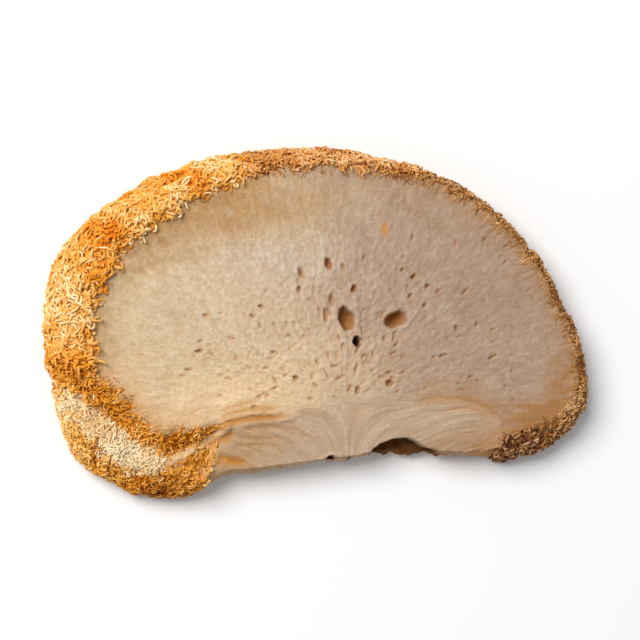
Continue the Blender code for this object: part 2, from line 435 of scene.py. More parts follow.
class Land:
    """Height of the upper side of the flesh, and masks of what lies where on it."""

    def __init__(self, at, rim):
        self.at = at
        x, y = at.T
        station, depth = rim.nearest(at)
        self.station, self.depth = station, depth
        wavy = 1.0 + 0.14 * noise(at / 3.4, 20) + 0.12 * noise(at / 1.4, 24)
        band = rim.band[station] * wavy
        crest = rim.height[station]
        bank_width = np.maximum(band, LEAST_BANK)
        band_share = depth / bank_width
        self.gap = depth - bank_width
        self.left = smoothstep(4.0, -26.0, x)
        self.on_face = smoothstep(0.85, 1.15, band_share)
        ragged = band_share + 0.3 * noise(at / 1.1, 25) + 0.22 * noise(at / 2.8, 29)
        self.crust = rim.crust[station] * smoothstep(1.35, 0.7, ragged)

        self.find_base(at)
        self.find_lobe(at)
        strip, lobe = self.strip, self.lobe
        face = FACE_HEIGHT + 0.35 * noise(at / 17.0, 21) + 0.16 * noise(at / 6.0, 22)
        sunk = bell(depth - band - 4.5, 3.4) * self.left * smoothstep(-18, -8, y)
        face = face - 0.3 * sunk - strip * (0.06 + 1.5 * self.below**1.25)
        hump = np.hypot((x - LOBE_CENTRE[0]) / 11.0, (y - LOBE_CENTRE[1]) / 7.0)
        lobe_top = 7.8 - 1.3 * clamp(hump) ** 2 + 0.3 * noise(at / 3.2, 23)
        face = blend(face, lobe_top, self.lobe_rise)
        face = face - 1.1 * bell(self.furrow_gap, 1.4) * self.furrow_end - 0.7 * self.furrow
        face = face + 0.7 * self.cord

        skirt = 0.36 * crest
        climb = np.sin(0.5 * math.pi * clamp(band_share)) ** 0.75
        top = blend(crest, crest + (face - crest) * climb, np.maximum(lobe, self.furrow))
        near_bank = np.exp(-((np.maximum(self.gap, 0.0) / 2.2) ** 2))
        near_bank = near_bank * (1.0 - lobe) * (1.0 - self.furrow) * (1.0 - strip)
        on_face = face + (np.maximum(crest, face) - face) * near_bank
        plain = np.where(self.gap < 0.0, skirt + (top - skirt) * climb, on_face)

        self.find_relief(at)
        crusty = rim.crust[station] * (1.0 - self.on_face)
        rough = layered(at / 0.9, 35, 2) * (0.35 * crusty + 0.3 * lobe + 0.25 * self.furrow)
        rough += 0.5 * noise(at / 2.3, 36) * crusty
        deep, lip, self.dark = dents(at, np.concatenate([np.array(PITS, float), pores(rim)]))
        self.fine += lip
        round_ends = clamp(np.abs(x - HOLLOW_MIDDLE) / HOLLOW_HALF) ** 4
        self.cavity = 2.6 + 0.6 * noise(at / 1.6, 91) + 3.0 * round_ends
        self.height = blend(plain + self.fine + rough - deep, self.cavity, self.hollow)

    def find_base(self, at):
        """The smooth strip of the torn base, and the hollow under its edge."""
        x, y = at.T
        crease_y = curve_height(at, CREASE)
        base_y = curve_height(at, BASE_LINE)
        self.seam = x + 16.6 - 0.28 * (y + 17.5) + 0.5 * noise(at / 1.3, 26)
        ends = smoothstep(-0.9, 0.9, self.seam) * smoothstep(31.5, 28.5, x)
        self.crease_gap = y - crease_y
        blur = 0.4 + 0.9 * bell(x - 4.0, 10.0)
        self.strip = smoothstep(blur, -blur, self.crease_gap + 0.4 * noise(at / 2.0, 30)) * ends
        self.below = np.clip((crease_y - y) / np.maximum(crease_y - base_y, 1.0), 0.0, 1.2)
        under_roof = smoothstep(0.18, -0.18, y - curve_height(at, ARCH))
        self.hollow = under_roof * smoothstep(7.9, 8.4, x) * smoothstep(21.0, 20.4, x)

    def find_lobe(self, at):
        """The furry lobe at the lower left, the furrow along it and the cord."""
        x, y = at.T
        self.furrow_gap, _ = line_distance(at, FURROW)
        above = y - curve_height(at, FURROW)
        under = smoothstep(0.3, -0.3, above)
        self.lobe = under * smoothstep(0.8, -0.8, self.seam)
        self.lobe_rise = under * smoothstep(2.4, -1.6, self.seam)
        self.furrow_end = smoothstep(-15.8, -18.5, x)
        width = curve_height(at, FURROW_WIDTH) * (1.0 + 0.18 * noise(at / 1.7, 27))
        into = self.furrow_gap / np.maximum(width, 0.1)
        upper_side = smoothstep(-0.3, 0.5, above)
        self.furrow = upper_side * smoothstep(1.15, 0.7, into) * self.furrow_end
        self.furrow_crust = upper_side * smoothstep(1.2, 0.5, into + 0.3 * noise(at / 1.1, 37))
        self.furrow_crust = self.furrow_crust * self.furrow_end
        beyond = np.maximum(self.furrow_gap - 0.8 * width, 0.0)
        self.furrow_glow = upper_side * np.exp(-beyond / 2.6) * smoothstep(-16.5, -25.0, x)
        cord, along = line_distance(at, CORD)
        self.cord = bell(cord, 0.8) * smoothstep(-0.1, 0.2, along)

    def find_relief(self, at):
        """The fine relief of the cut face and the torn base."""
        x, y = at.T
        open_face = self.on_face * (1.0 - self.strip) * (1.0 - self.lobe) * (1.0 - self.furrow)
        self.felt = spot(x, y, (1, 0), (21.0, 12.5))
        self.fringe = smoothstep(5.0, 0.0, self.gap) * (1.0 - self.left) * (1.0 - self.strip)
        ridges = fibre_ridges(at, 71)
        warped = at / 1.15 + 0.9 * np.stack([noise(at / 2.4, 31), noise(at / 2.4, 32)], 1)
        felt = 1.0 - 2.2 * np.abs(noise(warped, 33))
        crumbs = layered(at / 0.7, 34, 2)
        self.fine = open_face * (
            (0.08 + 0.07 * self.felt + 0.12 * self.fringe) * ridges
            + 0.07 * self.felt * felt
            + (0.03 + 0.09 * self.felt) * crumbs
        )
        strand, _ = strand_places(at)
        self.tear = noise(np.stack([strand / 6.0, x / 14.0], 1), 81)
        tear_fine = noise(np.stack([strand / 2.6, x / 7.0], 1), 82)
        self.fine += self.strip * (0.08 * self.tear + 0.05 * tear_fine)
        self.brown = np.zeros(len(at))
        for stain, width, drop, line in CREASES:
            away, along = line_distance(at, line)
            fade = smoothstep(0.0, 0.2, along) * smoothstep(1.0, 0.75, along)
            trough = bell(away * (1.0 + 0.3 * noise(at / 0.8, 28)), width) * fade
            self.fine -= drop * trough
            self.brown = np.maximum(self.brown, stain * trough)


# ---------------------------------------------------------------------------
# Mesh helpers
# ---------------------------------------------------------------------------


def deselect_all():
    for thing in bpy.context.selected_objects:
        thing.select_set(False)


def make_only(thing):
    """Selects this object alone and makes it the active one."""
    deselect_all()
    thing.select_set(True)
    bpy.context.view_layer.objects.active = thing


def read(items, name, width=3):
    """One property of all the items, as rows of that many numbers."""
    found = np.empty(len(items) * width, np.float32)
    items.foreach_get(name, found)
    return found.reshape(-1, width).astype(float)


def tree_of(mesh):
    return BVHTree.FromPolygons(
        [vertex.co for vertex in mesh.vertices], [face.vertices for face in mesh.polygons]
    )


def put_places(mesh, places):
    mesh.vertices.foreach_set("co", (places * MM).astype(np.float32).ravel())
    mesh.update()


def write_mask(mesh, name, values):
    layer = mesh.attributes.new(name, "FLOAT", "POINT")
    layer.data.foreach_set("value", np.asarray(values, np.float32))


def write_vector(mesh, name, values):
    layer = mesh.attributes.new(name, "FLOAT_VECTOR", "POINT")
    layer.data.foreach_set("vector", np.asarray(values, np.float32).ravel())


def apply_modifier(thing, kind, **values):
    modifier = thing.modifiers.new(kind.title(), kind)
    for name, value in values.items():
        setattr(modifier, name, value)
    make_only(thing)
    bpy.ops.object.modifier_apply(modifier=modifier.name)


def finish_piece(piece, stands_for=None):
    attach(piece, "root")
    if stands_for:
        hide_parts(stands_for)


# ---------------------------------------------------------------------------
# Materials
# ---------------------------------------------------------------------------


def shade(red, green, blue):
    """A colour as it is seen, 0 to 255 a channel, as linear numbers."""
    seen = [channel / 255.0 for channel in (red, green, blue)]
    return [c / 12.92 if c <= 0.04045 else ((c + 0.055) / 1.055) ** 2.4 for c in seen]


class Nodes:
    """Adds nodes to a tree and links them, in the order that a maker would lay them out."""

    def __init__(self, tree):
        self.tree = tree

    def add(self, kind, **values):
        node = self.tree.nodes.new(kind)
        for name, value in values.items():
            setattr(node, name, value)
        return node

    def feed(self, source, node, socket):
        self.tree.links.new(source, node.inputs[socket])

    def math(self, operation, first, second=None, clamp=False):
        node = self.add("ShaderNodeMath", operation=operation, use_clamp=clamp)
        for place, value in enumerate((first, second)):
            if isinstance(value, (int, float)):
                node.inputs[place].default_value = value
            elif value is not None:
                self.tree.links.new(value, node.inputs[place])
        return node.outputs[0]

    def mask(self, name):
        return self.add("ShaderNodeAttribute", attribute_name=name).outputs["Fac"]

    def noise(self, vector, scale, detail=2.0, roughness=0.5):
        node = self.add("ShaderNodeTexNoise")
        node.inputs["Scale"].default_value = scale
        node.inputs["Detail"].default_value = detail
        node.inputs["Roughness"].default_value = roughness
        self.feed(vector, node, "Vector")
        return node.outputs["Fac"]

    def spread(self, value, low, high, to_low=0.0, to_high=1.0):
        node = self.add("ShaderNodeMapRange")
        self.feed(value, node, "Value")
        for name, number in (("From Min", low), ("From Max", high),
                             ("To Min", to_low), ("To Max", to_high)):
            node.inputs[name].default_value = number
        return node.outputs[0]

    def mix(self, share, first, second, way="MIX"):
        node = self.add("ShaderNodeMix", data_type="RGBA", blend_type=way)
        if isinstance(share, (int, float)):
            node.inputs[0].default_value = share
        else:
            self.tree.links.new(share, node.inputs[0])
        for place, value in ((6, first), (7, second)):
            if isinstance(value, (list, tuple)) or hasattr(value, "r"):
                node.inputs[place].default_value = (*value[:3], 1.0)
            else:
                self.tree.links.new(value, node.inputs[place])
        return node.outputs[2]

    def ramp(self, value, stops):
        node = self.add("ShaderNodeValToRGB")
        self.feed(value, node, "Fac")
        while len(node.color_ramp.elements) < len(stops):
            node.color_ramp.elements.new(1.0)
        for element, (place, colour) in zip(node.color_ramp.elements, stops):
            element.position = place
            element.color = (*colour[:3], 1.0)
        return node.outputs["Color"]


def new_material(name, roughness):
    material = bpy.data.materials.new(name)
    material.use_nodes = True
    shader = material.node_tree.nodes["Principled BSDF"]
    shader.inputs["Roughness"].default_value = roughness
    shader.inputs["Specular IOR Level"].default_value = 0.25
    return material, Nodes(material.node_tree), shader


def dry_grain_group():
    """Fine dry speckle that every surface of the slice has, as a value and a bump."""
    tree = bpy.data.node_groups.get("dry_grain")
    if tree:
        return tree
    tree = bpy.data.node_groups.new("dry_grain", "ShaderNodeTree")
    sockets = tree.interface
    for name, default in (("Size", 0.0004), ("Strength", 0.5), ("Lift", 0.00005)):
        socket = sockets.new_socket(name, in_out="INPUT", socket_type="NodeSocketFloat")
        socket.default_value = default
    sockets.new_socket("Speckle", in_out="OUTPUT", socket_type="NodeSocketFloat")
    sockets.new_socket("Normal", in_out="OUTPUT", socket_type="NodeSocketVector")
    nodes = Nodes(tree)
    given = nodes.add("NodeGroupInput")
    out = nodes.add("NodeGroupOutput")
    place = nodes.add("ShaderNodeTexCoord").outputs["Object"]
    speck = nodes.add("ShaderNodeTexNoise")
    speck.inputs["Detail"].default_value = 3.0
    speck.inputs["Roughness"].default_value = 0.6
    nodes.feed(place, speck, "Vector")
    nodes.feed(nodes.math("DIVIDE", 1.0, given.outputs["Size"]), speck, "Scale")
    bump = nodes.add("ShaderNodeBump")
    nodes.feed(given.outputs["Strength"], bump, "Strength")
    nodes.feed(given.outputs["Lift"], bump, "Distance")
    nodes.feed(speck.outputs["Fac"], bump, "Height")
    nodes.feed(speck.outputs["Fac"], out, "Speckle")
    nodes.feed(bump.outputs["Normal"], out, "Normal")
    return tree


def add_grain(nodes, size, strength, lift):
    node = nodes.add("ShaderNodeGroup", node_tree=dry_grain_group())
    node.inputs["Size"].default_value = size
    node.inputs["Strength"].default_value = strength
    node.inputs["Lift"].default_value = lift
    return node


def flesh_material(colours):
    material, nodes, shader = new_material("dried_flesh", 0.85)
    grain = add_grain(nodes, 0.0004, 0.5, 0.00003)
    fibre = nodes.add("ShaderNodeAttribute", attribute_name="fibre").outputs["Vector"]
    streak = nodes.spread(nodes.noise(fibre, 1.3, 4.0, 0.7), 0.38, 0.62)
    dash = nodes.spread(nodes.noise(fibre, 2.1, 2.0, 0.5), 0.55, 0.66)
    place = nodes.add("ShaderNodeTexCoord").outputs["Object"]
    cloud = nodes.spread(nodes.noise(place, 150.0, 3.0, 0.6), 0.38, 0.62)
    mottle = nodes.spread(nodes.noise(place, 900.0, 3.0, 0.7), 0.36, 0.64)

    # The flesh darkens from left to right: partly its own tone, partly painted light falling off
    # towards the right.
    base = nodes.ramp(nodes.mask("across"), [
        (0.12, colours.flesh_left), (0.34, colours.flesh_middle), (0.45, colours.flesh_centre),
        (0.62, colours.flesh_right), (1.0, colours.flesh_end)])
    for name in ("strip", "lobe", "warm", "cool", "olive"):
        base = nodes.mix(nodes.mask(name), base, getattr(colours, name))
    # Painted shade and highlight of the fine relief: the groove colour is multiplied in where the
    # relief is low, along the fibre streaks and down the grooves of the torn strip, and the fibre
    # colour is screened over pale flecks, most of all on raised relief.
    shadow = nodes.mix(1.0, base, colours.groove, "MULTIPLY")
    raised = nodes.mix(1.0, base, colours.raised, "SCREEN")
    relief = nodes.mask("relief")
    low = nodes.spread(relief, 0.5, 0.1)
    high = nodes.spread(relief, 0.5, 0.9)
    clouded = nodes.mix(1.0, base, colours.cloud, "MULTIPLY")
    base = nodes.mix(nodes.math("MULTIPLY", cloud, 0.5), base, clouded)
    base = nodes.mix(nodes.math("MULTIPLY", low, 0.55), base, shadow)
    fleck = nodes.math("MULTIPLY", mottle, nodes.math("ADD", high, 0.4, clamp=True))
    base = nodes.mix(nodes.math("MULTIPLY", fleck, 0.85), base, raised)
    base = nodes.mix(nodes.math("MULTIPLY", streak, 0.42), base, shadow)
    base = nodes.mix(nodes.math("MULTIPLY", nodes.mask("tear"), 0.35), base, shadow)
    dashes = nodes.math("MULTIPLY", nodes.math("MULTIPLY", dash, nodes.mask("pored")), 0.38)
    base = nodes.mix(dashes, base, colours.stain)
    # The pit colour is partly painted shade in the pits, and the hollow colour is painted shade in
    # the hollow under the base.
    for name in ("stain", "toast", "pit", "hollow"):
        base = nodes.mix(nodes.mask(name), base, getattr(colours, name))
    speckle = nodes.spread(grain.outputs["Speckle"], 0.3, 0.7, 0.9, 1.06)
    value = nodes.add("ShaderNodeCombineColor")
    for channel in ("Red", "Green", "Blue"):
        nodes.feed(speckle, value, channel)
    base = nodes.mix(1.0, base, value.outputs[0], "MULTIPLY")
    nodes.feed(base, shader, "Base Color")

    bump = nodes.add("ShaderNodeBump")
    bump.inputs["Strength"].default_value = 0.5
    bump.inputs["Distance"].default_value = 0.00008
    nodes.feed(nodes.math("SUBTRACT", mottle, streak), bump, "Height")
    nodes.feed(grain.outputs["Normal"], bump, "Normal")
    nodes.feed(bump.outputs["Normal"], shader, "Normal")
    return material


def spine_material(name, stops):
    """A dry spine: its own tone, darker at its root and paler at its tip."""
    material, nodes, shader = new_material(name, 0.62)
    grain = add_grain(nodes, 0.00035, 0.5, 0.00004)
    speckle = nodes.spread(grain.outputs["Speckle"], 0.3, 0.7, -0.09, 0.09)
    tone = nodes.math("ADD", nodes.mask("tone"), speckle, clamp=True)
    nodes.feed(nodes.ramp(tone, stops), shader, "Base Color")
    nodes.feed(grain.outputs["Normal"], shader, "Normal")
    return material


# ---------------------------------------------------------------------------
# Flesh
# ---------------------------------------------------------------------------

CAGE_SIDES = 120
SOLE_UNDERCUT = 0.9
LOOKS_UP = 0.55  # faces whose normals rise more steeply than this are made finer
SOLE_PORES = 420
SOLE_PORE_SEED = 17


def cage_rings(rim):
    """Rings of the flesh from the middle of the sole up over the rim and in over the face."""
    edge, inward = rim.edge, rim.inward
    width = np.maximum(rim.band, LEAST_BANK)[:, None]
    crest = rim.height

    def ring(step_in, height, closed_in=0.0):
        flat = (edge + inward * step_in) * (1.0 - closed_in)
        return np.column_stack([flat, np.broadcast_to(height, len(flat))])

    face = np.full(len(edge), FACE_HEIGHT)
    return [
        ring(SOLE_UNDERCUT, 0.0, 0.55),
        ring(SOLE_UNDERCUT, 0.0, 0.12),
        ring(SOLE_UNDERCUT, 0.0),
        ring(0.25, 0.10 * crest),
        ring(0.0, 0.28 * crest),
        ring(width * 0.10, 0.50 * crest),
        ring(width * 0.35, 0.74 * crest),
        ring(width * 0.72, 0.94 * crest),
        ring(width * 1.05, crest),
        ring(width + 1.6, 0.5 * (crest + face)),
        ring(width + 1.6, face, 0.25),
        ring(width + 1.6, face, 0.62),
    ]


def add_cage(rim):
    """Extrudes a disc ring by ring, then lets each ring out to the rim's own line."""
    rings = cage_rings(rim)
    deselect_all()
    bpy.ops.mesh.primitive_circle_add(vertices=CAGE_SIDES, radius=1.0, fill_type="NGON")
    cage = bpy.context.object
    bpy.ops.object.mode_set(mode="EDIT")
    bpy.ops.mesh.select_all(action="SELECT")
    for _ in rings[1:]:
        bpy.ops.mesh.extrude_region_move(TRANSFORM_OT_translate={"value": (0.0, 0.0, 1.0)})
    bpy.ops.object.mode_set(mode="OBJECT")
    for vertex in cage.data.vertices:
        angle = math.atan2(vertex.co.y, vertex.co.x)
        ring = rings[round(vertex.co.z)]
        vertex.co = [
            np.interp(angle, rim.angles, ring[:, axis], period=2 * math.pi) * MM
            for axis in range(3)
        ]
    bpy.ops.object.mode_set(mode="EDIT")
    bpy.ops.mesh.select_all(action="SELECT")
    bpy.ops.mesh.normals_make_consistent(inside=False)
    bpy.ops.object.mode_set(mode="OBJECT")
    return cage


def refine_upper_side(thing):
    """Splits the faces that look up, so that they can hold the pores and fibres."""
    bpy.ops.object.mode_set(mode="EDIT")
    bpy.ops.mesh.select_mode(type="FACE")
    bpy.ops.mesh.select_all(action="DESELECT")
    cage = bmesh.from_edit_mesh(thing.data)
    for face in cage.faces:
        face.select = face.normal.z > LOOKS_UP
    bmesh.update_edit_mesh(thing.data)
    bpy.ops.mesh.subdivide(number_cuts=1, smoothness=0.0)
    bpy.ops.object.mode_set(mode="OBJECT")


def shape_flesh(mesh, rim):
    """Moves the vertices onto the relief of the upper face, the rough wall and the sole."""
    places = read(mesh.vertices, "co") / MM
    normals = read(mesh.vertex_normals, "vector")
    at = places[:, :2]
    land = Land(at, rim)
    upper = smoothstep(0.2, 0.6, normals[:, 2]) * (places[:, 2] > 1.0)
    lower = smoothstep(-0.3, -0.8, normals[:, 2])
    wall = (1.0 - upper) * (1.0 - lower)

    places[:, 2] = blend(places[:, 2], land.height, upper)
    sunk = np.minimum(places[:, 2], land.cavity)
    places[:, 2] = blend(places[:, 2], sunk, land.hollow * (1.0 - upper))
    crusty = rim.crust[land.station]
    lumps = layered(places / 2.2, 101, 3)
    torn = layered(places / np.array((0.8, 0.8, 2.2)), 102, 3)
    ragged = noise(at / 1.7, 103) + 0.5 * noise(places / 1.9, 104)
    push = wall * (crusty * 0.5 * lumps + (1.0 - crusty) * (0.4 * torn + 0.45 * ragged))
    places[:, :2] -= rim.inward[land.station] * push[:, None]

    sole_ridge = 0.08 + 0.10 * fibre_ridges(at, 111) + 0.12 * layered(at / 1.6, 112, 3)
    sole_deep, _, sole_dark = dents(at, pores_of_sole())
    inside = smoothstep(0.6, 2.5, land.depth)
    places[:, 2] += lower * inside * (clamp(sole_ridge) + sole_deep)
    places[:, 2] = np.maximum(places[:, 2], 0.0)
    put_places(mesh, places)
    return places, land, upper, lower, wall, sole_dark * lower


def pores_of_sole():
    """Pits and pores of the lower cut face."""
    rng = np.random.default_rng(SOLE_PORE_SEED)
    at = rng.normal(0.0, 1.0, (SOLE_PORES, 2)) * (17, 9) + (2, -2)
    size = rng.uniform(0.0, 1.0, SOLE_PORES) ** 2
    turn = np.degrees(np.arctan2(at[:, 1] - FIBRE_CENTRE[1], at[:, 0] - FIBRE_CENTRE[0]))
    return np.stack([*at.T, 0.4 + 1.0 * size, 0.22 + 0.5 * size, turn, 0.3 + 1.0 * size], 1)


def paint_flesh(mesh, places, land, upper, lower, wall, sole_dark, rim):
    """Writes the masks that the flesh's material mixes its colours by."""
    x, y = land.at.T
    crusty = rim.crust[land.station]
    streaks = clamp(0.5 + 0.9 * fibre_ridges(land.at, 123))
    cloud = noise(land.at / 9.0, 121)
    # across runs from the left end to the right, the way the flesh colours darken: partly the
    # flesh's own tone, partly painted light falling off towards the right.
    tilted = x + np.where(y < 0.0, 1.0, 0.15) * y
    across = clamp(0.5 + tilted / 84.0 + 0.05 * cloud)
    face = upper * (1.0 - land.lobe)
    glow_reach = 6.0 + 7.0 * smoothstep(2.0, 12.0, y)
    rim_glow = smoothstep(1.0, 0.0, (land.gap + 1.6 * cloud) / glow_reach) * land.left * crusty
    wander = 5.0 * noise(land.at / 8.0, 124) + 2.0 * noise(land.at / 2.5, 125)
    upper_left = bell(y - 19.0 + 0.4 * wander, 5.0) * smoothstep(10.0, -16.0, x + wander)
    olive = (0.8 * rim_glow + 0.95 * upper_left) * (0.5 + 0.7 * streaks)
    olive = clamp(olive) + 0.6 * land.strip * smoothstep(-2, -13, x)
    lower_left = bell(land.crease_gap - 3.5, 5.5) * bell(x + 15, 14) * (1.0 - land.strip)
    warm = lower_left + 0.18 * spot(x, y, (5, 19.5), (9.0, 4.5))
    cool = spot(x, y, (-7, 10), (9.0, 4.5))

    gold = 0.55 * np.exp(-np.maximum(land.gap + 0.8 * cloud, 0.0) / 1.3) * blend(1.0, streaks, 0.6)
    gold = gold * land.left * crusty
    gold = np.maximum(gold, 0.9 * land.furrow_glow * blend(1.0, streaks, 0.4))
    gold += 0.3 * bell(land.crease_gap - 0.8, 1.3) * bell(x + 12, 8) * (0.4 + 0.6 * streaks)
    gold += 0.7 * spot(x, y, (-15, -22.6), (2.6, 1.0)) * (0.4 + 0.6 * streaks)
    gold += 0.9 * spot(x, y, (10.0, 14.8), (0.6, 1.1))
    gold += 0.85 * land.furrow + 0.7 * land.brown
    gold = np.maximum(gold * upper, (1.0 - land.on_face) * crusty * upper)
    torn = layered(places / np.array((1.3, 1.3, 3.0)), 126, 3)
    torn = clamp(0.5 + 0.9 * torn)
    gold = np.maximum(gold, wall * (0.1 + 0.4 * torn + 0.5 * crusty))
    tan_lobe = land.lobe * smoothstep(-27.5, -25.0, x) * (1.0 - land.cord)
    gold = np.maximum(gold, tan_lobe * 0.55)
    gold = np.maximum(gold, land.lobe * smoothstep(4.5, 6.5, land.furrow_gap))

    thin_side = smoothstep(-6.0, 14.0, x)
    toast = land.fringe * clamp(1.6 * streaks - 0.45) * 0.7
    toast = np.maximum(toast, np.exp(-np.maximum(land.gap, 0.0) / 2.4) * (0.35 + 0.6 * streaks))
    toast = toast * blend(0.2, 1.0, thin_side) * (1.0 - land.left) * (1.0 - land.strip)
    toast += 0.5 * lower * smoothstep(5.0, 0.0, land.depth) + 0.5 * wall * torn * (1.0 - crusty)
    corner = spot(x, y, (36.0, -16.5), (6.0, 2.8))
    corner = corner + spot(x, y, (40.0, -10.5), (2.6, 4.0))
    toast += corner * (0.25 + 0.6 * streaks) * upper
    brown_end = bell(land.crease_gap - 1.0, 2.5) * smoothstep(12.0, 20.0, x) * (1.0 - land.strip)
    toast += 0.3 * brown_end * (0.4 + 1.2 * streaks) * upper
    brown_end = smoothstep(-17.0, -21.0, y) * smoothstep(10.0, 22.0, x)
    toast += (0.4 * brown_end + 0.25 * smoothstep(22.0, 30.0, x)) * land.strip * upper
    # Painted shade down the low grooves of the torn strip, where its tear noise sinks.
    tear_lines = clamp(-1.2 * land.tear) * land.strip
    # Pits and pores take their golden brown more strongly the deeper they are, partly as painted
    # shade; crease troughs take a little of it too.
    dark = 0.9 * land.dark * upper + 0.35 * land.brown * upper + sole_dark * 0.8
    pored = spot(x, y, (-2, -5), (22.0, 8.5)) * face * (1.0 - land.strip)
    # Painted shade: dark brown in the hollow under the base, low down its walls and on its floor,
    # and in the notch beside it.
    hollow = land.hollow * smoothstep(5.5, 4.0, places[:, 2])
    hollow = hollow * smoothstep(0.0, 0.7, places[:, 2] - land.cavity + 1.2)
    hollow = np.maximum(hollow, spot(x, y, (1.5, -22.9), (1.1, 0.7)) * upper)
    # relief holds the height of the fine relief; the material paints shade in its low places and
    # highlight on its high ones.
    masks = {
        "across": across, "strip": land.strip * upper, "lobe": land.lobe * upper,
        "olive": olive * face, "warm": warm * face, "cool": cool * face,
        "stain": gold, "toast": toast, "pit": dark, "tear": tear_lines * upper,
        "relief": 0.5 + 2.2 * land.fine * upper, "pored": pored, "hollow": hollow,
    }
    for name, values in masks.items():
        write_mask(mesh, name, clamp(values))
    turn, out, _ = fibre_places(land.at)
    strand, side = strand_places(land.at)
    fan = np.stack([turn * 30.0, out / 2.5, places[:, 2] / 2.0], 1)
    flow = np.stack([strand / 2.2, side / 5.0, places[:, 2] / 2.0], 1)
    write_vector(mesh, "fibre", np.where((land.strip > 0.5)[:, None], flow, fan))


# ---------------------------------------------------------------------------
# Spines
# ---------------------------------------------------------------------------

SIDES = 4
SEGMENTS = 6
LEAST_WEIGHT = 0.12  # ground that counts for less than this grows no spines
ROOT_SPREAD = 0.1
TOP_SPARE = 0.05  # how far the lines of the spines stay below the top of the CAD solid
RUN_STOPS = (0.0, 0.3, 0.62, 1.0)  # places of a spine's four colours in their run

# Patches of crust: x, y, radius, and how far paler (or, below nothing, how far more orange).
TINTS = [
    (-41.5, -6.5, 4.2, -0.24),
    (-42.5, 3.0, 4.0, 0.10),
    (-39.5, 9.5, 3.0, 0.06),
    (-36.5, 13.8, 3.8, -0.15),
    (-30.0, 17.0, 2.6, 0.16),
    (-31.5, 20.5, 2.6, -0.2),
    (-24.0, 19.8, 2.6, 0.12),
    (-24.0, 24.0, 2.8, -0.22),
    (-17.5, 22.8, 2.8, 0.2),
    (-9.0, 26.6, 2.6, -0.12),
    (-3.5, 25.2, 2.2, 0.22),
    (3.0, 27.0, 2.4, -0.16),
    (2.0, 25.2, 2.0, 0.2),
    (10.0, 25.4, 2.6, 0.14),
    (-33.0, -12.0, 2.4, -0.18),
    (-29.0, -26.5, 4.0, -0.2),
    (-23.0, -22.0, 3.0, -0.1),
    (-26.0, -28.0, 2.4, -0.28),
    (-35.0, -24.5, 2.5, 0.1),
    (-43.0, -13.0, 3.0, 0.14),
    (-39.5, -18.5, 3.2, 0.12),
    (43.0, -13.0, 4.0, 0.3),
    (39.0, -18.0, 3.0, 0.12),
    (32.0, -20.5, 2.4, -0.2),
]


def spine_lines(roots, ways, lengths, curl, wander, rng):
    """Centre lines of spines that set out from their roots and curl up along the way."""
    count = len(roots)
    axis = unit(np.cross(ways, unit(rng.normal(size=(count, 3)))))
    lines = np.empty((count, SEGMENTS + 1, 3))
    lines[:, 0] = roots
    heading = unit(ways)
    step = (lengths / SEGMENTS)[:, None]
    bend = curl / SEGMENTS
    for k in range(SEGMENTS):
        lines[:, k + 1] = lines[:, k] + heading * step
        turn = (bend * (0.5 + 1.0 * k / (SEGMENTS - 1)))[:, None]
        heading = unit(heading * np.cos(turn) + np.cross(axis, heading) * np.sin(turn))
        axis = axis + wander * unit(rng.normal(size=(count, 3)))
        axis = unit(axis - (axis * heading).sum(1, keepdims=True) * heading)
    return lines


def settle(lines, radii, piles, tree):
    """Mats the spines down: none runs inside the flesh or stands over the pile height."""
    count, points, _ = lines.shape
    flat = lines.reshape(-1, 3)
    sizes = np.repeat(radii, points)
    heights = np.repeat(piles, points)
    for row in range(len(flat)):
        if row % points == 0:
            continue  # a root stays in the flesh
        place, normal, _, _ = tree.find_nearest(Vector(flat[row]) * MM)
        place = np.array(place) / MM
        away = flat[row] - place
        height = float(np.dot(away, normal))
        least = 0.5 * sizes[row]
        pile = heights[row]
        if height < least:
            flat[row] += np.array(normal) * (least - height)
        else:
            over = math.dist(flat[row], place)
            matted = least + pile * math.tanh(max(over - least, 0.0) / pile)
            flat[row] = place + away * (matted / max(over, 1e-6))
    flat[:, 2] = np.clip(flat[:, 2], sizes, TOP_MM - TOP_SPARE)
    return flat.reshape(count, points, 3)


def sweep(lines, radii):
    """Tube vertices round each centre line, with the radius given at each of its points."""
    count, points, _ = lines.shape
    forward = np.empty_like(lines)
    forward[:, 1:-1] = lines[:, 2:] - lines[:, :-2]
    forward[:, 0] = lines[:, 1] - lines[:, 0]
    forward[:, -1] = lines[:, -1] - lines[:, -2]
    forward = unit(forward)
    start = np.where(np.abs(forward[:, :1, 2:]) < 0.9, (0.0, 0.0, 1.0), (1.0, 0.0, 0.0))[:, 0]
    sideways = unit(np.cross(forward[:, 0], start))
    turns = np.arange(SIDES) * 2.0 * math.pi / SIDES
    tubes = np.empty((count, points, SIDES, 3))
    for k in range(points):
        along = forward[:, k]
        sideways = unit(sideways - (sideways * along).sum(1, keepdims=True) * along)
        upward = np.cross(along, sideways)
        ring = (
            np.cos(turns)[None, :, None] * sideways[:, None]
            + np.sin(turns)[None, :, None] * upward[:, None]
        )
        tubes[:, k] = lines[:, k, None] + ring * radii[:, k, None, None]
    return tubes


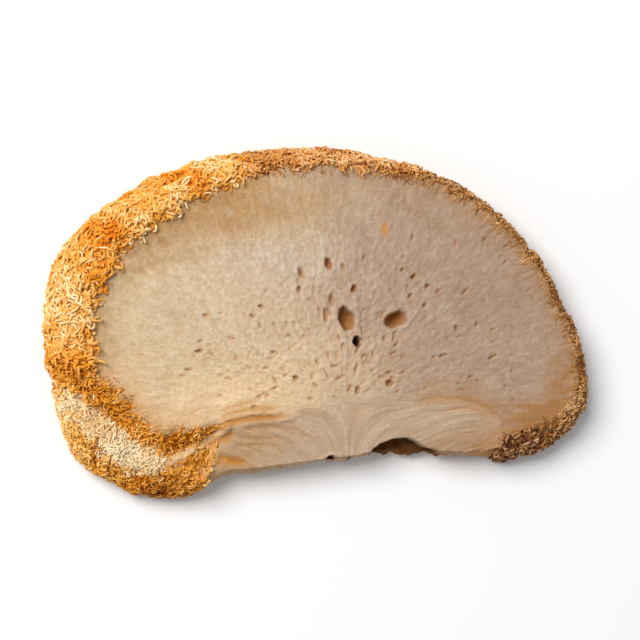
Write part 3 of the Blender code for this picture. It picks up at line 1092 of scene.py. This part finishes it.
def spine_mesh(name, lines, radii, tone):
    """One joined mesh of closed tubes, with each vertex's tone as an attribute."""
    count, points, _ = lines.shape
    tubes = sweep(lines, radii)
    block = points * SIDES
    ring = np.arange(SIDES)
    after = (ring + 1) % SIDES
    quads = np.concatenate(
        [
            np.stack([k * SIDES + ring, k * SIDES + after,
                      (k + 1) * SIDES + after, (k + 1) * SIDES + ring], 1)
            for k in range(points - 1)
        ]
    )
    caps = np.stack([ring[::-1], (points - 1) * SIDES + ring])
    starts = (np.arange(count) * block)[:, None]
    corners = np.concatenate(
        [(quads.ravel()[None] + starts), (caps.ravel()[None] + starts)], 1
    ).ravel()
    sizes = np.tile(np.concatenate([np.full(len(quads), 4), np.full(2, SIDES)]), count)
    mesh = bpy.data.meshes.new(name)
    mesh.vertices.add(count * block)
    mesh.vertices.foreach_set("co", (tubes * MM).astype(np.float32).ravel())
    mesh.loops.add(len(corners))
    mesh.loops.foreach_set("vertex_index", corners.astype(np.int32))
    mesh.polygons.add(len(sizes))
    firsts = np.concatenate([[0], np.cumsum(sizes)[:-1]])
    mesh.polygons.foreach_set("loop_start", firsts.astype(np.int32))
    mesh.update(calc_edges=True)
    mesh.validate()
    write_mask(mesh, "tone", np.repeat(tone.reshape(-1), SIDES))
    mesh.shade_smooth()
    piece = bpy.data.objects.new(name, mesh)
    bpy.context.scene.collection.objects.link(piece)
    return piece


class Ground:
    """The flesh as ground for spines: its faces, what lies where on it, and its tree."""

    def __init__(self, flesh, rim):
        faces = flesh.data.polygons
        self.centres = read(faces, "center") / MM
        self.normals = read(faces, "normal")
        self.areas = read(faces, "area", 1)[:, 0] / MM**2
        self.tree = tree_of(flesh.data)
        self.rim = rim
        self.land = Land(self.centres[:, :2], rim)
        station = self.land.station
        self.degrees = np.degrees(rim.angles[station])
        self.turned = np.where(self.degrees < 0.0, self.degrees + 360.0, self.degrees)
        near_rim = smoothstep(2.4, 1.2, self.land.depth)
        self.side = smoothstep(0.55, 0.2, self.normals[:, 2]) * near_rim
        self.full = np.maximum(np.maximum(self.crusty(), self.land.furrow_crust), self.land.lobe)

    def band(self, low, high, soft=4.0):
        """How much each face lies between two angles, of up to a full turn, round the rim."""
        turned = np.where(self.turned > high + soft, self.turned - 360.0, self.turned)
        return smoothstep(low - soft, low + soft, turned) * smoothstep(
            high + soft, high - soft, turned
        )

    def crusty(self):
        """Where crust grows: the band on top, and the wall below it, but not the sole."""
        wall = self.rim.crust[self.land.station] * self.side
        on_top = self.land.crust
        return np.maximum(on_top, wall) * (self.normals[:, 2] > -0.6)

    def pick(self, weights, count, rng):
        """Rows of faces to root spines on, as likely as their area times their weight."""
        chances = self.areas * np.clip(weights - LEAST_WEIGHT, 0.0, None)
        return rng.choice(len(chances), size=count, p=chances / chances.sum())


def tints(places):
    """How far paler or more orange the patches of crust are at each place."""
    shift = 0.3 * noise(places / PATCH_MM, 301) + 0.2 * noise(places / 1.7, 302)
    for x, y, radius, change in TINTS:
        shift += change * bell(np.hypot(places[:, 0] - x, places[:, 1] - y), radius)
    return shift


def grow(ground, name, weights, habit, seed, shift=0.0):
    """Grows one group of spines on the ground where the weights say."""
    rng = np.random.default_rng(seed)
    count = habit.count
    rows = ground.pick(weights, count, rng)
    normals = ground.normals[rows]
    thick = habit.thickness / MM * rng.uniform(0.8, 1.2, count) / 2.0
    roots = ground.centres[rows] + rng.normal(0, ROOT_SPREAD, (count, 3)) - normals * thick[:, None]
    station = ground.land.station[rows]
    outward = np.column_stack([-ground.rim.inward[station], np.zeros(count)])
    _, _, fan = fibre_places(roots[:, :2])
    combed = np.column_stack([fan, np.zeros(count)]) * rng.choice((-1.0, 1.0), count)[:, None]
    tuft = np.stack([noise(roots / TUFT_MM, seed + k) for k in (1, 2, 3)], 1)
    ways = (
        habit.rise * normals
        + habit.lean * outward
        + habit.comb * combed
        + habit.tufting * tuft
        + habit.scatter * unit(rng.normal(size=(count, 3)))
    )
    within = smoothstep(0.0, 0.85, ground.full[rows])
    lengths = habit.length / MM * rng.uniform(0.6, 1.4, count) * (0.5 + 0.5 * within)
    piles = habit.pile / MM * (0.15 + 0.85 * within**1.5)
    curl = habit.curl * rng.uniform(0.4, 1.6, count) * rng.choice((-1.0, 1.0), count)
    lines = spine_lines(roots, ways, lengths, curl, habit.wander, rng)
    lines = settle(lines, thick, piles, ground.tree)
    share = np.linspace(0.0, 1.0, SEGMENTS + 1)
    taper = 1.0 - (1.0 - habit.tip) * share**1.5
    taper[-1] *= 0.6
    radii = thick[:, None] * taper[None]
    own = tints(roots) * habit.patchy + rng.normal(0.0, habit.own, count) + habit.tone
    # Spines are paler at the inner edge of the crust: partly fading towards the flesh's colour,
    # partly painted light against the shade that the crust casts there.
    own = own + (shift[rows] if np.ndim(shift) else shift) + habit.faded * (1.0 - within)
    # Painted shade and light in the pile: spines low down among the others are darker, those at the
    # top of the pile paler.
    height = ((lines - roots[:, None]) * normals[:, None]).sum(2) / piles[:, None]
    tone = own[:, None] + habit.bleach * (share[None] - 0.4)
    tone = tone + habit.sunken * (np.clip(height, 0.0, 1.5) - 0.6)
    return spine_mesh(name, lines, radii, clamp(tone))


# ---------------------------------------------------------------------------
# Settings
# ---------------------------------------------------------------------------


def colour_setting(name, text, red, green, blue):
    return FloatVectorProperty(
        name=name, description=text, subtype="COLOR", size=3, min=0.0, max=1.0,
        default=shade(red, green, blue),
    )


class FleshSettings(bpy.types.PropertyGroup):
    voxel: FloatProperty(
        name="Mesh grain", description="Size of the faces on the sides and sole",
        default=0.00048, min=0.0002, max=0.002, precision=5, unit="LENGTH",
    )
    # The flesh colours darken from left to right: partly the flesh's own tone, partly painted light
    # falling off towards the right.
    flesh_left: colour_setting("Left flesh", "Flesh behind the thick crust", 211, 188, 154)
    flesh_middle: colour_setting("Middle flesh", "Flesh left of the middle", 213, 190, 161)
    flesh_centre: colour_setting("Centre flesh", "Flesh in the middle", 203, 178, 152)
    flesh_right: colour_setting("Right flesh", "Flesh right of the middle", 177, 151, 130)
    flesh_end: colour_setting("End flesh", "Flesh at the narrow end", 172, 147, 126)
    strip: colour_setting("Torn base", "The smooth torn strip at the base", 201, 174, 148)
    lobe: colour_setting("Lobe", "Pale ground of the furry lobe", 220, 188, 142)
    warm: colour_setting("Warm", "Warmer flesh at the lower left", 238, 209, 168)
    cool: colour_setting("Cool", "Greyer flesh above the middle", 208, 190, 168)
    olive: colour_setting("Olive", "Duller flesh beside the thick crust", 190, 153, 104)
    groove: colour_setting("Grooves", "Shade multiplied in between fibres", 214, 192, 166)
    # Painted highlight over raised fibres, mixed with pale flecks.
    raised: colour_setting("Fibres", "Light screened over raised fibres", 112, 108, 100)
    cloud: colour_setting("Clouds", "Shade multiplied in over faint clouds", 236, 228, 220)
    stain: colour_setting("Stain", "Golden brown beside the crust", 206, 138, 56)
    toast: colour_setting("Toast", "Browned fibre ends at the thin rim", 164, 116, 70)
    # The pit colour is partly the pits' own golden brown and partly painted shade, laid on more in
    # deeper pits.
    pit: colour_setting("Pits", "Down in the pits and pores", 158, 102, 42)
    # Painted shade: the dark brown of the hollow under the base and of the notch beside it.
    hollow: colour_setting("Hollow", "Inside the hollow under the base", 112, 72, 32)


def spine_fields(**habit):
    """The settings of one kind of spine, with its own defaults."""
    fields = {
        "count": IntProperty(
            name="Spines", description="How many spines are grown",
            default=habit["count"], min=1, max=3500),
        "length": FloatProperty(
            name="Length", description="Mean length along a spine",
            default=habit["length"], min=0.0002, precision=4, unit="LENGTH"),
        "thickness": FloatProperty(
            name="Thickness", description="Mean thickness at the root",
            default=habit["thickness"], min=0.0001, precision=5, unit="LENGTH"),
        "pile": FloatProperty(
            name="Pile", description="Height that the matted spines stand over the flesh",
            default=habit["pile"], min=0.0001, precision=4, unit="LENGTH"),
        "curl": FloatProperty(
            name="Curl", description="Mean turn from root to tip",
            default=habit["curl"], subtype="ANGLE"),
    }
    shares = (
        ("tip", "Tip", "Thickness of the tip beside the root", 0.7),
        ("wander", "Wander", "How far a curl leaves its own plane", 0.25),
        ("rise", "Rise", "How straight up a spine sets out", 0.5),
        ("lean", "Lean", "How far a spine leans out over the rim", 0.25),
        ("comb", "Comb", "How far a spine lies along the fibres below it", 0.0),
        ("tufting", "Tufting", "How far neighbours lean alike", 0.9),
        ("scatter", "Scatter", "How far each spine leans its own way", 0.8),
        ("tone", "Tone", "Mean place in the run of colours", 0.55),
        ("patchy", "Patches", "How far patches of crust differ in tone", 1.0),
        ("own", "Own tone", "How far single spines differ in tone", 0.1),
        ("bleach", "Bleach", "How much paler the tip is than the root", 0.3),
        # Painted shade on spines low in the pile, and painted light on those at its top.
        ("sunken", "Sunken", "How much darker spines are down between the others", 0.2),
        # Partly spines fading towards the flesh's colour, partly painted light against the shade
        # the crust casts on its inner edge.
        ("faded", "Faded", "How much paler spines are at the inner edge of the crust", 0.2),
    )
    for field, name, text, usual in shares:
        fields[field] = FloatProperty(name=name, description=text, default=habit.get(field, usual))
    shades = ("root_colour", "deep_colour", "body_colour", "tip_colour")
    for field, colour in zip(shades, habit["colours"]):
        name = field.replace("_", " ").capitalize()
        fields[field] = colour_setting(name, name + " of the spines", *colour)
    return fields


GOLDEN = ((214, 118, 6), (230, 148, 32), (240, 182, 92), (252, 228, 182))
AMBER = ((164, 92, 26), (208, 138, 62), (232, 180, 116), (248, 222, 178))
BROWN = ((124, 68, 18), (176, 116, 50), (206, 152, 90), (230, 190, 140))
DARK = ((62, 28, 8), (128, 74, 32), (182, 128, 80), (226, 186, 142))
PALE = ((216, 152, 74), (238, 196, 134), (248, 220, 172), (252, 236, 202))
TAWNY = ((150, 72, 2), (212, 130, 12), (232, 164, 54), (250, 210, 136))
HAIR = ((142, 90, 42), (182, 134, 82), (214, 174, 122), (240, 214, 174))


class LeftSettings(bpy.types.PropertyGroup):
    """Thick crust round the left end"""

    __annotations__ = spine_fields(
        count=3100, length=0.0029, thickness=0.00049, pile=0.0012, curl=5.4, tone=0.47,
        bleach=0.22, faded=0.3, colours=GOLDEN)


class UpperSettings(bpy.types.PropertyGroup):
    """Crust at the upper left"""

    __annotations__ = spine_fields(
        count=2900, length=0.0029, thickness=0.00049, pile=0.0012, curl=5.4, tone=0.36,
        bleach=0.22, faded=0.3, colours=GOLDEN)


class CrownSettings(bpy.types.PropertyGroup):
    """Crust over the crown"""

    __annotations__ = spine_fields(
        count=2300, length=0.0022, thickness=0.00039, pile=0.0010, curl=4.2, lean=0.35,
        tone=0.3, bleach=0.22, colours=AMBER)


class RightSettings(bpy.types.PropertyGroup):
    """Thin crust down the right side"""

    __annotations__ = spine_fields(
        count=2800, length=0.0014, thickness=0.00038, pile=0.0007, curl=3.0, lean=0.3,
        tone=0.22, own=0.16, bleach=0.2, faded=0.1, colours=BROWN)


class CornerSettings(bpy.types.PropertyGroup):
    """Dark clump at the lower right corner"""

    __annotations__ = spine_fields(
        count=700, length=0.0021, thickness=0.00046, pile=0.001, curl=5.4, rise=0.6,
        tone=0.36, own=0.18, bleach=0.25, faded=0.0, colours=DARK)


class FurSettings(bpy.types.PropertyGroup):
    """Short pale fur of the lobe"""

    __annotations__ = spine_fields(
        count=2700, length=0.0013, thickness=0.00024, pile=0.0005, curl=2.2, rise=0.7,
        scatter=0.7, tone=0.46, bleach=0.2, colours=PALE)


class LobeSettings(bpy.types.PropertyGroup):
    """Tawny crust of the lobe and its furrow"""

    __annotations__ = spine_fields(
        count=3300, length=0.0016, thickness=0.0003, pile=0.0007, curl=3.8, tone=0.5,
        own=0.14, bleach=0.2, faded=0.4, colours=TAWNY)


class FringeSettings(bpy.types.PropertyGroup):
    """Thin hairs that soften the inner edge of the crust"""

    __annotations__ = spine_fields(
        count=1200, length=0.0016, thickness=0.00022, pile=0.00016, curl=1.2, rise=0.1, lean=0.0,
        comb=1.0, tufting=0.3, scatter=0.3, tone=0.5, tip=0.5, bleach=0.0,
        sunken=0.0, faded=0.0, colours=HAIR)


class StageSettings(bpy.types.PropertyGroup):
    key: FloatProperty(name="Key light", description="Power of the key light", default=12.0)
    sky: FloatProperty(name="Sky", description="Strength of the even light", default=0.36)
    floor: colour_setting("Floor", "The pale floor", 245, 245, 246)
    tilt_left: FloatProperty(
        name="Camera tilt", description="How far the camera leans to the thick end",
        default=math.radians(12.0), subtype="ANGLE",
    )
    tilt_up: FloatProperty(
        name="Camera lean", description="How far the camera leans to the crown",
        default=math.radians(3.0), subtype="ANGLE",
    )


class MushroomSettings(bpy.types.PropertyGroup):
    flesh: PointerProperty(type=FleshSettings)
    crust_left: PointerProperty(type=LeftSettings)
    crust_upper: PointerProperty(type=UpperSettings)
    crust_crown: PointerProperty(type=CrownSettings)
    crust_right: PointerProperty(type=RightSettings)
    crust_corner: PointerProperty(type=CornerSettings)
    lobe_fur: PointerProperty(type=FurSettings)
    lobe_crust: PointerProperty(type=LobeSettings)
    rim_fringe: PointerProperty(type=FringeSettings)
    stage: PointerProperty(type=StageSettings)


# ---------------------------------------------------------------------------
# Operators
# ---------------------------------------------------------------------------

grounds = {}


def ground_now():
    """The flesh as it stands, as ground for spines."""
    if "flesh" not in bpy.data.objects:
        raise RuntimeError("Model the flesh before its spines")
    flesh = bpy.data.objects["flesh"]
    if flesh.name not in grounds:
        grounds[flesh.name] = Ground(flesh, Rim(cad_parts[SOLID]))
    return grounds[flesh.name]


def add_spines(context, name, weights, seed, shift=0.0):
    """One piece of spines, with the habit and colours that its settings give."""
    habit = getattr(context.scene.mushroom, name)
    piece = grow(ground_now(), name, weights, habit, seed, shift)
    colours = (habit.root_colour, habit.deep_colour, habit.body_colour, habit.tip_colour)
    stops = list(zip(RUN_STOPS, colours))
    piece.data.materials.append(spine_material(name + "_spines", stops))
    finish_piece(piece)


class MUSHROOM_OT_flesh(bpy.types.Operator):
    """Model the flesh: cut faces with pores and fibres, the torn base and the lobe"""

    bl_idname = "mushroom.flesh"
    bl_label = "Flesh"

    def execute(self, context):
        settings = context.scene.mushroom.flesh
        rim = Rim(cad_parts[SOLID])
        flesh = add_cage(rim)
        flesh.name = flesh.data.name = "flesh"
        apply_modifier(flesh, "SUBSURF", levels=2, render_levels=2)
        apply_modifier(flesh, "REMESH", mode="VOXEL", voxel_size=settings.voxel)
        refine_upper_side(flesh)
        shaped = shape_flesh(flesh.data, rim)
        paint_flesh(flesh.data, *shaped, rim)
        flesh.data.shade_smooth()
        flesh.data.materials.clear()
        flesh.data.materials.append(flesh_material(settings))
        finish_piece(flesh, SOLID)
        grounds.clear()
        return {"FINISHED"}


class MUSHROOM_OT_crust(bpy.types.Operator):
    """Grow the crust of curled spines round the rim"""

    bl_idname = "mushroom.crust"
    bl_label = "Crust"

    def execute(self, context):
        ground = ground_now()
        crusty = ground.crusty() * (1.0 - ground.land.lobe) * (1.0 - ground.land.furrow_crust)
        add_spines(context, "crust_left", crusty * ground.band(160, 212, 4.0), 201)
        add_spines(context, "crust_upper", crusty * ground.band(117, 160, 6.0), 202)
        add_spines(context, "crust_crown", crusty * ground.band(58, 117, 8.0), 203)
        patchy = smoothstep(-0.5, 0.3, noise(ground.centres / 1.9, 312))
        crusty = crusty * smoothstep(0.6, 0.2, ground.land.strip)
        near = smoothstep(4.6, 3.6, ground.land.depth + 0.8 * noise(ground.centres / 1.3, 313))
        clump = crusty * ground.band(319, 329, 2.0) * near
        thin = crusty * np.maximum(ground.band(-8, 58, 8.0), ground.band(323, 368, 2.5))
        thin = thin * np.maximum(ground.side, 0.25 + 0.75 * patchy) * (1.0 - clump)
        add_spines(context, "crust_right", thin, 204)
        add_spines(context, "crust_corner", clump, 205)
        return {"FINISHED"}


class MUSHROOM_OT_lobe(bpy.types.Operator):
    """Grow the pale fur of the lobe, and the tawny crust in its furrow and below it"""

    bl_idname = "mushroom.lobe"
    bl_label = "Lobe"

    def execute(self, context):
        ground = ground_now()
        land = ground.land
        x = ground.centres[:, 0]
        up = smoothstep(-0.1, 0.4, ground.normals[:, 2])
        edge = land.furrow_gap + 1.2 * noise(ground.centres / 1.6, 311)
        pale = land.lobe * smoothstep(5.4, 3.0, edge)
        pale = pale * smoothstep(-25.4, -27.4, x) * smoothstep(-43.5, -40.5, x) * up
        crusty = ground.crusty() * ground.band(195, 238)
        tawny = np.maximum(crusty, 0.8 * up) * land.lobe * (1.0 - 0.9 * pale) * (1.0 - land.cord)
        tawny = tawny * (1.0 - 0.45 * smoothstep(-28.0, -25.0, x) * up)
        tawny = tawny + 1.2 * land.furrow_crust * up * (1.0 - land.cord)
        add_spines(context, "lobe_fur", pale, 206)
        bright = 0.16 * smoothstep(-37.0, -42.0, x) - 0.12 * land.furrow_crust
        add_spines(context, "lobe_crust", tawny, 207, bright)
        return {"FINISHED"}


class MUSHROOM_OT_fringe(bpy.types.Operator):
    """Lay the thin hairs at the inner edge of the crust"""

    bl_idname = "mushroom.fringe"
    bl_label = "Fringe"

    def execute(self, context):
        ground = ground_now()
        land = ground.land
        x = ground.centres[:, 0]
        crusty = ground.rim.crust[land.station] * (ground.normals[:, 2] > 0.4)
        away = crusty * (1.0 - land.strip) * (1.0 - land.lobe)
        edge = away * smoothstep(-0.8, 0.0, land.gap) * smoothstep(1.4, 0.2, land.gap)
        edge = edge * (0.5 + 0.5 * smoothstep(-10, 20, x))
        beside = smoothstep(0.35, 0.85, land.furrow_glow) * (1.0 - land.furrow_crust)
        edge = np.maximum(edge, beside * (1.0 - land.strip) * (1.0 - land.lobe))
        add_spines(context, "rim_fringe", edge, 208, shift=0.4 * land.left - 0.28)
        return {"FINISHED"}


class MUSHROOM_OT_stage(bpy.types.Operator):
    """Set up the floor, the soft lights and the camera"""

    bl_idname = "mushroom.stage"
    bl_label = "Stage"

    def execute(self, context):
        scene = context.scene
        settings = scene.mushroom.stage
        deselect_all()
        bpy.ops.mesh.primitive_plane_add(size=FLOOR_WIDTH, location=(0.0, 0.0, 0.0))
        floor = context.object
        floor.name = "floor"
        material, _, shader = new_material("pale_floor", 0.9)
        shader.inputs["Base Color"].default_value = (*settings.floor, 1.0)
        floor.data.materials.append(material)

        world = bpy.data.worlds.new("soft_sky")
        world.use_nodes = True
        sky = world.node_tree.nodes["Background"]
        sky.inputs["Color"].default_value = SKY_COLOUR
        sky.inputs["Strength"].default_value = settings.sky
        scene.world = world

        lamp = bpy.data.lights.new("key", "AREA")
        lamp.shape = "DISK"
        lamp.size = KEY_WIDTH
        lamp.energy = settings.key
        lamp.color = KEY_COLOUR
        key = bpy.data.objects.new("key", lamp)
        key.location = KEY_PLACE
        key.rotation_euler = (-key.location).to_track_quat("-Z", "Y").to_euler()
        scene.collection.objects.link(key)

        middle = (CAD_BOX[0] + CAD_BOX[1]) / 2.0
        back = Vector((-math.tan(settings.tilt_left), math.tan(settings.tilt_up), 1.0))
        lens = bpy.data.cameras.new("camera")
        lens.lens = CAMERA_LENS
        camera = bpy.data.objects.new("camera", lens)
        wide = LENGTH_MM * MM / FRAME_SHARE
        distance = wide * CAMERA_LENS / lens.sensor_width
        camera.location = middle + back.normalized() * distance
        across = Vector((0.0, 1.0, 0.0)).cross(back).normalized()
        upward = back.normalized().cross(across)
        turned = Matrix((across, upward, back.normalized())).transposed()
        camera.rotation_euler = turned.to_euler()
        scene.collection.objects.link(camera)
        scene.camera = camera
        scene.view_settings.view_transform = "Standard"
        return {"FINISHED"}


class MUSHROOM_PT_panel(bpy.types.Panel):
    """Lists the steps of the slice in the sidebar"""

    bl_label = "Dried Mushroom Slice"
    bl_idname = "MUSHROOM_PT_panel"
    bl_space_type = "VIEW_3D"
    bl_region_type = "UI"
    bl_category = "Mushroom"

    def draw(self, context):
        for step in STEPS:
            self.layout.operator(step.bl_idname)


STEPS = (
    MUSHROOM_OT_flesh, MUSHROOM_OT_crust, MUSHROOM_OT_lobe, MUSHROOM_OT_fringe,
    MUSHROOM_OT_stage,
)
CLASSES = (
    FleshSettings, LeftSettings, UpperSettings, CrownSettings, RightSettings, CornerSettings,
    FurSettings, LobeSettings, FringeSettings, StageSettings, MushroomSettings, *STEPS,
    MUSHROOM_PT_panel,
)


def register():
    for kind in CLASSES:
        bpy.utils.register_class(kind)
    bpy.types.Scene.mushroom = PointerProperty(type=MushroomSettings)


def unregister():
    del bpy.types.Scene.mushroom
    for kind in reversed(CLASSES):
        bpy.utils.unregister_class(kind)


def main():
    register()
    for step in STEPS:
        area, name = step.bl_idname.split(".")
        getattr(getattr(bpy.ops, area), name)()


if __name__ == "__main__":
    main()
